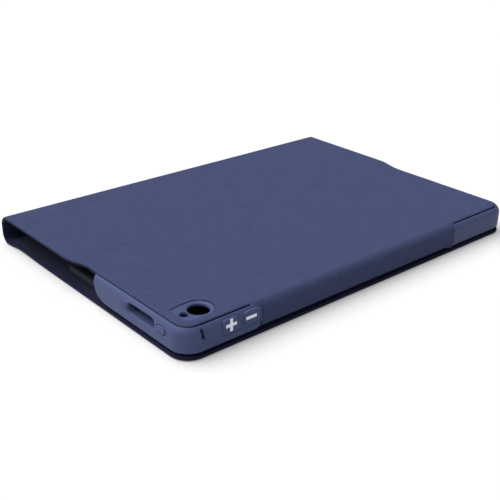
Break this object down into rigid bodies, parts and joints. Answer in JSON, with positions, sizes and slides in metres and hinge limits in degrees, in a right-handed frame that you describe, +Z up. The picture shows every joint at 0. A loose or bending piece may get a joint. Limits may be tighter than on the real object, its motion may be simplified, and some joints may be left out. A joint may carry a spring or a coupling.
{
  "type": "tablet keyboard case",
  "caption": "Fabric folio case with a built-in scissor keyboard and a moulded tablet holder that folds up on a hinged spine to stand the tablet for typing.",
  "frame": {"origin": "middle of the closed case on its resting face, the outside of the keyboard deck", "axes": "+X along the spine, to the right seen from the opening edge; +Y from the opening edge to the spine; +Z up, from the keyboard deck to the tablet holder"},
  "size_m": [0.252, 0.1794, 0.0175],
  "materials": {
    "outer_fabric": "fine plain weave, matt",
    "inner_lining": "fine microfibre",
    "stiffener_board": "grey board",
    "moulded_rim": "soft-touch, satin",
    "keyboard_black": "fine texture",
    "keycap": "fine texture",
    "aluminium_trim": "brushed",
    "steel": "plain",
    "magnet": "nickel plated",
    "membrane": "printed sheet",
    "dome_rubber": "moulded",
    "link_plastic": "natural",
    "circuit_board": "solder mask",
    "chip": "moulded",
    "ribbon": "polyimide film",
    "gold_contact": "plated",
    "mark_white": "moulded"
  },
  "bodies": {
    "deck": {"base_fabric": "outer_fabric", "base_board": "stiffener_board", "base_lining": "inner_lining", "keyboard_tray": "keyboard_black", "keyboard_frame": "keyboard_black", "key_support_plate": "aluminium_trim", "switch_membrane": "membrane", "rubber_domes": "dome_rubber", "scissor_links": "link_plastic", "controller_board": "circuit_board", "board_components": "chip", "membrane_ribbon": "ribbon", "tray_screws": "steel", "dock_bar": "aluminium_trim", "dock_contact_block": "chip", "dock_contact_pins": "gold_contact", "dock_magnets": "magnet", "front_magnets": "magnet", "lower_hinge_fabric": "outer_fabric"},
    "spine": {"spine_board": "stiffener_board", "spine_fabric": "outer_fabric", "spine_lining": "inner_lining", "upper_hinge_fabric": "outer_fabric"},
    "flap": {"flap_board": "stiffener_board", "flap_fabric": "outer_fabric", "flap_lining": "inner_lining", "fold_hinge_fabric": "outer_fabric"},
    "holder": {"holder_shell": "moulded_rim", "holder_fabric": "outer_fabric", "holder_lining": "inner_lining", "camera_surround": "moulded_rim", "holder_keepers": "steel"},
    "volume_up": {"volume_up_button": "moulded_rim", "volume_up_mark": "mark_white"},
    "volume_down": {"volume_down_button": "moulded_rim", "volume_down_mark": "mark_white"},
    "power": {"power_button": "moulded_rim"},
    "function_keys": {"function_keys": "keycap"},
    "number_keys": {"number_keys": "keycap"},
    "upper_letter_keys": {"upper_letter_keys": "keycap"},
    "home_letter_keys": {"home_letter_keys": "keycap"},
    "lower_letter_keys": {"lower_letter_keys": "keycap"},
    "modifier_keys": {"modifier_keys": "keycap"},
    "delete_key": {"delete_key": "keycap"},
    "tab_key": {"tab_key": "keycap"},
    "caps_lock_key": {"caps_lock_key": "keycap"},
    "return_key": {"return_key": "keycap"},
    "left_shift_key": {"left_shift_key": "keycap"},
    "right_shift_key": {"right_shift_key": "keycap"},
    "space_bar": {"space_bar": "keycap"},
    "arrow_left_key": {"arrow_left_key": "keycap"},
    "arrow_up_down_keys": {"arrow_up_down_keys": "keycap"},
    "arrow_right_key": {"arrow_right_key": "keycap"}
  },
  "joints": [
    {"name": "lower_spine_fold", "type": "hinge", "parent": "deck", "child": "spine", "pos_m": [0, 0.08841, 0.00129], "axis": [-1, 0, 0], "range_deg": [0, 90], "deforming": ["lower_hinge_fabric", "scissor_links", "rubber_domes"]},
    {"name": "upper_spine_fold", "type": "hinge", "parent": "spine", "child": "flap", "pos_m": [0, 0.0883, 0.01609], "axis": [-1, 0, 0], "range_deg": [0, 90], "deforming": ["upper_hinge_fabric"]},
    {"name": "holder_fold", "type": "hinge", "parent": "flap", "child": "holder", "pos_m": [0, 0.0062, 0.01704], "axis": [1, 0, 0], "range_deg": [-120, 0], "deforming": ["fold_hinge_fabric"]},
    {"name": "function_keys_press", "type": "slide", "parent": "deck", "child": "function_keys", "axis": [0, 0, -1], "range_m": [0, 0.0015], "stiffness_N_per_m": 600, "springref_m": -0.0006},
    {"name": "number_keys_press", "type": "slide", "parent": "deck", "child": "number_keys", "axis": [0, 0, -1], "range_m": [0, 0.0015], "stiffness_N_per_m": 600, "springref_m": -0.0006},
    {"name": "upper_letter_keys_press", "type": "slide", "parent": "deck", "child": "upper_letter_keys", "axis": [0, 0, -1], "range_m": [0, 0.0015], "stiffness_N_per_m": 600, "springref_m": -0.0006},
    {"name": "home_letter_keys_press", "type": "slide", "parent": "deck", "child": "home_letter_keys", "axis": [0, 0, -1], "range_m": [0, 0.0015], "stiffness_N_per_m": 600, "springref_m": -0.0006},
    {"name": "lower_letter_keys_press", "type": "slide", "parent": "deck", "child": "lower_letter_keys", "axis": [0, 0, -1], "range_m": [0, 0.0015], "stiffness_N_per_m": 600, "springref_m": -0.0006},
    {"name": "modifier_keys_press", "type": "slide", "parent": "deck", "child": "modifier_keys", "axis": [0, 0, -1], "range_m": [0, 0.0015], "stiffness_N_per_m": 600, "springref_m": -0.0006},
    {"name": "delete_key_press", "type": "slide", "parent": "deck", "child": "delete_key", "axis": [0, 0, -1], "range_m": [0, 0.0015], "stiffness_N_per_m": 600, "springref_m": -0.0006},
    {"name": "tab_key_press", "type": "slide", "parent": "deck", "child": "tab_key", "axis": [0, 0, -1], "range_m": [0, 0.0015], "stiffness_N_per_m": 600, "springref_m": -0.0006},
    {"name": "caps_lock_key_press", "type": "slide", "parent": "deck", "child": "caps_lock_key", "axis": [0, 0, -1], "range_m": [0, 0.0015], "stiffness_N_per_m": 600, "springref_m": -0.0006},
    {"name": "return_key_press", "type": "slide", "parent": "deck", "child": "return_key", "axis": [0, 0, -1], "range_m": [0, 0.0015], "stiffness_N_per_m": 600, "springref_m": -0.0006},
    {"name": "left_shift_key_press", "type": "slide", "parent": "deck", "child": "left_shift_key", "axis": [0, 0, -1], "range_m": [0, 0.0015], "stiffness_N_per_m": 600, "springref_m": -0.0006},
    {"name": "right_shift_key_press", "type": "slide", "parent": "deck", "child": "right_shift_key", "axis": [0, 0, -1], "range_m": [0, 0.0015], "stiffness_N_per_m": 600, "springref_m": -0.0006},
    {"name": "space_bar_press", "type": "slide", "parent": "deck", "child": "space_bar", "axis": [0, 0, -1], "range_m": [0, 0.0015], "stiffness_N_per_m": 600, "springref_m": -0.0006},
    {"name": "arrow_left_key_press", "type": "slide", "parent": "deck", "child": "arrow_left_key", "axis": [0, 0, -1], "range_m": [0, 0.0015], "stiffness_N_per_m": 600, "springref_m": -0.0006},
    {"name": "arrow_up_down_keys_press", "type": "slide", "parent": "deck", "child": "arrow_up_down_keys", "axis": [0, 0, -1], "range_m": [0, 0.0015], "stiffness_N_per_m": 600, "springref_m": -0.0006},
    {"name": "arrow_right_key_press", "type": "slide", "parent": "deck", "child": "arrow_right_key", "axis": [0, 0, -1], "range_m": [0, 0.0015], "stiffness_N_per_m": 600, "springref_m": -0.0006},
    {"name": "volume_up_press", "type": "slide", "parent": "holder", "child": "volume_up", "axis": [0, 1, 0], "range_m": [0, 0.0004], "stiffness_N_per_m": 3000, "springref_m": -0.0002},
    {"name": "volume_down_press", "type": "slide", "parent": "holder", "child": "volume_down", "axis": [0, 1, 0], "range_m": [0, 0.0004], "stiffness_N_per_m": 3000, "springref_m": -0.0002},
    {"name": "power_press", "type": "slide", "parent": "holder", "child": "power", "axis": [1, 0, 0], "range_m": [0, 0.0004], "stiffness_N_per_m": 3000, "springref_m": -0.0002}
  ]
}
